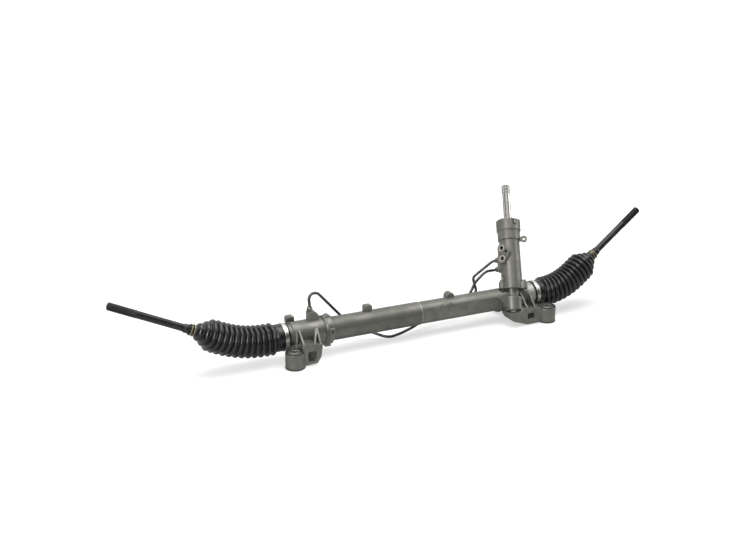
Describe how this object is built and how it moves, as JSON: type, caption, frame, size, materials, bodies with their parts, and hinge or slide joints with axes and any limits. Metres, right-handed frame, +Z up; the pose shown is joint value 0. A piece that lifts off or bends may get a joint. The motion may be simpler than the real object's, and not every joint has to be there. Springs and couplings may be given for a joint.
{
  "type": "steering rack",
  "caption": "Hydraulic power steering rack and pinion with a leaning valve tower, bellows over ball-jointed tie rods, and eyes with rubber bushes.",
  "frame": {"origin": "centre of the left mounting eye's bottom face", "axes": "+X along the rack from the left eye to the right eye, +Y from the eyes to the rack bar, +Z up along the eyes' bores"},
  "size_m": [1.2633, 0.198, 0.2741],
  "materials": {
    "cast_aluminium": "as cast, dull",
    "tube_steel": "dull",
    "machined_steel": "ground",
    "rod_steel": "phosphated",
    "bearing_steel": "polished",
    "zinc_steel": "zinc plated",
    "line_steel": "satin",
    "boot_rubber": "matt",
    "bush_rubber": "matt",
    "seal_rubber": "matt",
    "seat_plastic": "matt",
    "ring_plastic": "matt"
  },
  "bodies": {
    "casing": {"left_casting": "cast_aluminium", "main_tube": "tube_steel", "tube_screws": "machined_steel", "right_casting": "cast_aluminium", "valve_tower": "cast_aluminium", "joint_bolts": "zinc_steel", "lower_bearing": "bearing_steel", "upper_bearing": "bearing_steel", "input_bearing": "bearing_steel", "input_seal": "seal_rubber", "retaining_ring": "bearing_steel", "dust_cap": "seal_rubber", "bottom_cap": "machined_steel", "rack_yoke": "machined_steel", "yoke_spring": "bearing_steel", "yoke_adjuster": "machined_steel", "yoke_locknut": "machined_steel", "left_bush_rubber": "bush_rubber", "left_bush_sleeve": "machined_steel", "right_bush_rubber": "bush_rubber", "right_bush_sleeve": "machined_steel", "long_pipe": "line_steel", "short_pipe": "line_steel", "pipe_nuts": "zinc_steel", "left_rack_seal": "seal_rubber", "right_rack_seal": "seal_rubber", "left_band_clamp": "machined_steel", "right_band_clamp": "machined_steel", "left_bellows": "boot_rubber", "right_bellows": "boot_rubber"},
    "rack": {"rack_bar": "machined_steel", "rack_piston": "machined_steel", "rack_piston_ring": "ring_plastic", "left_ball_socket": "rod_steel", "right_ball_socket": "rod_steel"},
    "left_seat": {"left_ball_seat": "seat_plastic"},
    "right_seat": {"right_ball_seat": "seat_plastic"},
    "left_rod": {"left_tie_rod": "rod_steel", "left_rod_clip": "zinc_steel"},
    "right_rod": {"right_tie_rod": "rod_steel", "right_rod_clip": "zinc_steel"},
    "pinion_shaft": {"pinion": "bearing_steel", "valve_sleeve": "bearing_steel", "valve_rings": "ring_plastic"},
    "input": {"input_shaft": "bearing_steel", "torsion_bar": "bearing_steel"}
  },
  "joints": [
    {"name": "rack_slide", "type": "slide", "parent": "casing", "child": "rack", "axis": [1, 0, 0], "range_m": [-0.055, 0.085], "deforming": ["left_bellows", "right_bellows"]},
    {"name": "pinion_spin", "type": "hinge", "parent": "casing", "child": "pinion_shaft", "pos_m": [0.533, 0.03551, 0.0576], "axis": [0.2147, 0.5248, 0.8237], "range_deg": [-610, 395]},
    {"name": "input_twist", "type": "hinge", "parent": "pinion_shaft", "child": "input", "pos_m": [0.533, 0.03551, 0.0576], "axis": [0.2147, 0.5248, 0.8237], "range_deg": [-5, 5], "stiffness_Nm_per_rad": 0.5},
    {"name": "left_rod_swing", "type": "hinge", "parent": "rack", "child": "left_seat", "pos_m": [-0.095, 0.049, 0.049], "axis": [0, 0, 1], "range_deg": [-12, 16], "deforming": ["left_bellows"]},
    {"name": "left_rod_tilt", "type": "hinge", "parent": "left_seat", "child": "left_rod", "pos_m": [-0.095, 0.049, 0.049], "axis": [0.0349, 0.9994, 0], "range_deg": [-59.2, 8.8], "deforming": ["left_bellows"]},
    {"name": "right_rod_swing", "type": "hinge", "parent": "rack", "child": "right_seat", "pos_m": [0.665, 0.049, 0.049], "axis": [0, 0, 1], "range_deg": [-24.4, 3.6], "deforming": ["right_bellows"]},
    {"name": "right_rod_tilt", "type": "hinge", "parent": "right_seat", "child": "right_rod", "pos_m": [0.665, 0.049, 0.049], "axis": [0.1805, -0.9836, 0], "range_deg": [-64.8, 3.2], "deforming": ["right_bellows"]}
  ],
  "couplings": [
    {"joint": "pinion_spin", "follows": "rack_slide", "rad_per_m": -125}
  ]
}
